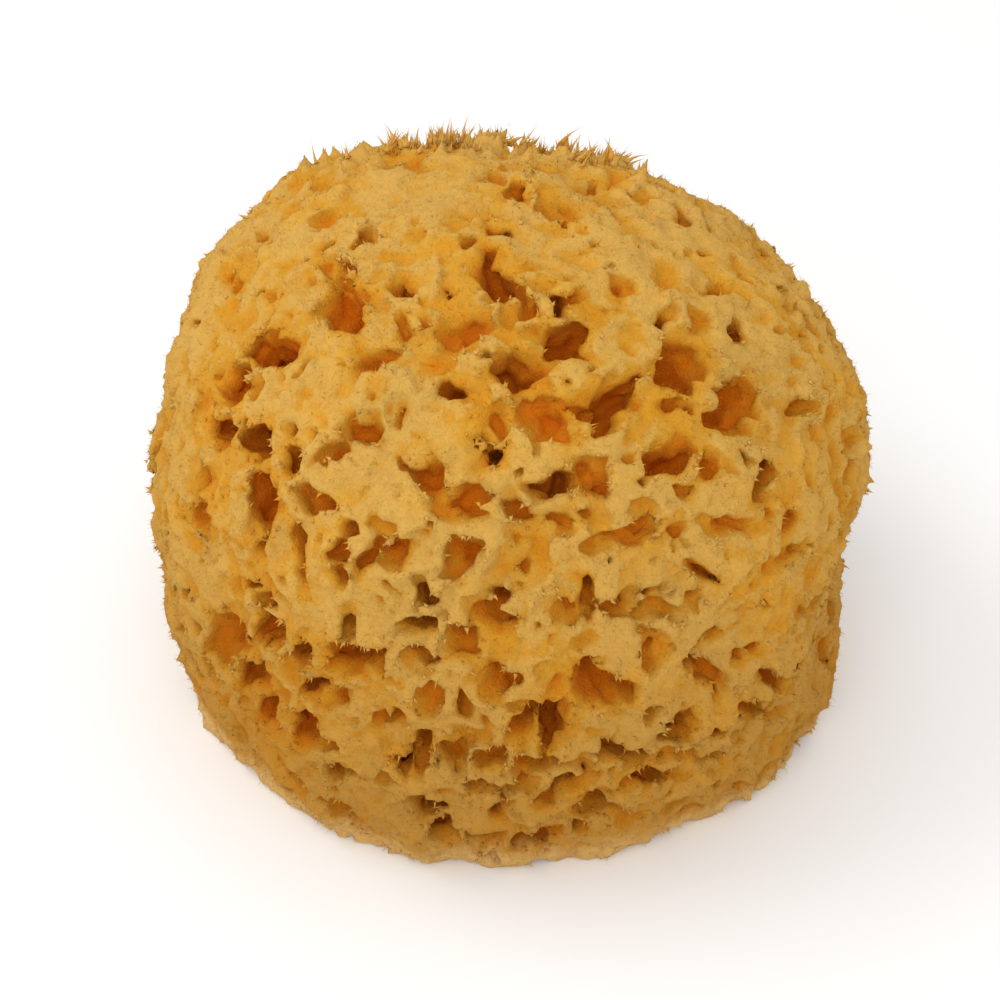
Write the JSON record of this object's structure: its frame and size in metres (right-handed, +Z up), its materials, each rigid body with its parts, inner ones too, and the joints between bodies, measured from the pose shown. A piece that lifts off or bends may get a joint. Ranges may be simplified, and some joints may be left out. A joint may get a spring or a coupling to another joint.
{
  "type": "sea sponge",
  "caption": "Dry natural honeycomb sea sponge: a lumpy fibrous dome full of deep open pores, with pointed fibre tufts, cut flat underneath to rest on; for bathing or display",
  "frame": {"origin": "middle of the flat cut underneath, on the surface that the sponge rests on", "axes": "+Z up out of the cut, -Y towards the front that the picture shows, +X to the right of that front"},
  "size_m": [0.1417, 0.137, 0.1085],
  "materials": {
    "sponge_fibre": "dry felted golden fibre, matt, darker orange-brown down in the pores"
  },
  "bodies": {
    "root": {"sponge": "sponge_fibre"}
  },
  "joints": []
}
